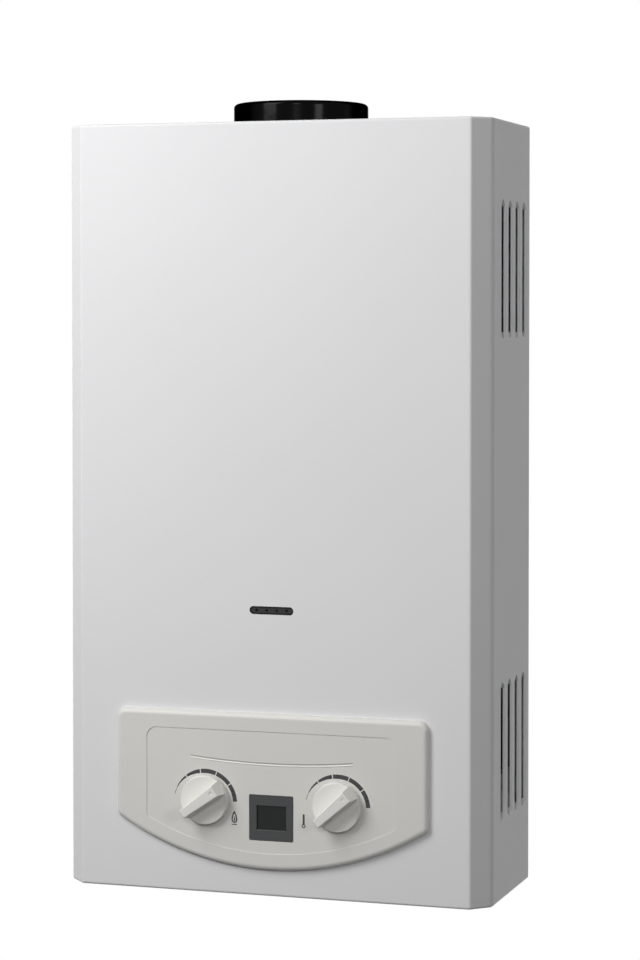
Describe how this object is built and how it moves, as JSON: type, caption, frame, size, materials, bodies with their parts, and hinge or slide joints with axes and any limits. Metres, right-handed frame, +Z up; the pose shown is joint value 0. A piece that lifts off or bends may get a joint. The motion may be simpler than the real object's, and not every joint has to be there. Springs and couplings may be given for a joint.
{
  "type": "gas water heater",
  "caption": "Wall-hung instantaneous gas water heater: bent white steel case with louvred sides, bowed control fascia with pointer knobs and display, flue collar on top, pipe tails below.",
  "frame": {"origin": "on the wall plane, midway between the two hanging keyholes", "axes": "+X to the viewer's right, +Y into the wall, +Z up; the front faces -Y"},
  "size_m": [0.34, 0.16, 0.621],
  "materials": {
    "white_enamel": "smooth stoved enamel, half gloss",
    "fascia_plastic": "satin moulded plastic",
    "knob_plastic": "smooth moulded plastic",
    "bezel_plastic": "dark polished plastic",
    "screen_plastic": "unlit display behind clear plastic",
    "sight_paint": "matt dark paint",
    "mica": "thin clear sheet",
    "black_enamel": "gloss vitreous enamel",
    "galvanised_steel": "zinc-coated sheet",
    "plated_steel": "zinc or nickel plate",
    "copper": "bright copper, tin-dipped inside",
    "burner_steel": "stainless sheet",
    "cast_aluminium": "die cast",
    "brass": "pressed brass, machined faces",
    "diaphragm_rubber": "moulded rubber",
    "insulator_ceramic": "fired ceramic",
    "black_plastic": "moulded plastic",
    "grey_plastic": "moulded plastic",
    "battery_sleeve": "shrunk plastic sleeve"
  },
  "bodies": {
    "heater": {"front_cover": "white_enamel", "control_fascia": "fascia_plastic", "display_bezel": "bezel_plastic", "display_screen": "screen_plastic", "sight_plate": "sight_paint", "sight_mica": "mica", "flue_collar": "black_enamel", "back_pan": "galvanised_steel", "draught_hood": "galvanised_steel", "exchanger_brackets": "galvanised_steel", "burner_brackets": "galvanised_steel", "switch_bracket": "galvanised_steel", "cover_screws": "plated_steel", "fascia_screws": "plated_steel", "cap_screws": "plated_steel", "spark_electrode": "plated_steel", "flame_probe": "plated_steel", "electrode_plate": "plated_steel", "lid_pin": "plated_steel", "battery_contacts": "plated_steel", "fitting_locknuts": "plated_steel", "exchanger_shell": "copper", "exchanger_fins": "copper", "exchanger_tubes": "copper", "coil_pipe": "copper", "hot_pipe": "copper", "burner_frame": "burner_steel", "burner_bars": "burner_steel", "gas_valve_body": "cast_aluminium", "gas_manifold": "cast_aluminium", "gas_riser": "cast_aluminium", "water_valve_body": "brass", "diaphragm_cap": "brass", "injectors": "brass", "gas_inlet": "brass", "cold_inlet": "brass", "hot_outlet": "brass", "valve_diaphragm": "diaphragm_rubber", "electrode_insulators": "insulator_ceramic", "gas_solenoid": "black_plastic", "microswitch": "black_plastic", "control_module": "black_plastic", "display_module": "black_plastic", "spill_thermostat": "black_plastic", "overheat_thermostat": "black_plastic", "battery_box": "grey_plastic", "batteries": "battery_sleeve"},
    "gas_control": {"gas_knob": "knob_plastic", "gas_spindle": "plated_steel"},
    "water_control": {"water_knob": "knob_plastic", "water_spindle": "plated_steel"},
    "push_rod": {"push_rod": "plated_steel"},
    "switch_lever": {"microswitch_lever": "plated_steel"},
    "battery_lid": {"battery_lid": "grey_plastic"},
    "drain_cock": {"drain_cock": "brass"}
  },
  "joints": [
    {"name": "gas_knob_turn", "type": "hinge", "parent": "heater", "child": "gas_control", "pos_m": [-0.0517, -0.145, -0.4725], "axis": [0, -1, 0], "range_deg": [-31, 134]},
    {"name": "water_knob_turn", "type": "hinge", "parent": "heater", "child": "water_control", "pos_m": [0.0543, -0.145, -0.4725], "axis": [0, -1, 0], "range_deg": [-37, 128]},
    {"name": "push_rod_slide", "type": "slide", "parent": "heater", "child": "push_rod", "axis": [-1, 0, 0], "range_m": [0, 0.004], "stiffness_N_per_m": 500},
    {"name": "switch_lever_swing", "type": "hinge", "parent": "heater", "child": "switch_lever", "pos_m": [0.007, -0.076, -0.4555], "axis": [0, 1, 0], "range_deg": [0, 19]},
    {"name": "battery_lid_swing", "type": "hinge", "parent": "heater", "child": "battery_lid", "pos_m": [-0.116, -0.0887, -0.54355], "axis": [1, 0, 0], "range_deg": [0, 100]},
    {"name": "drain_cock_turn", "type": "hinge", "parent": "heater", "child": "drain_cock", "pos_m": [0.0783, -0.076, -0.5], "axis": [0, 0, -1], "range_deg": [0, 90]}
  ],
  "couplings": [
    {"joint": "switch_lever_swing", "follows": "push_rod_slide", "rad_per_m": 80}
  ]
}
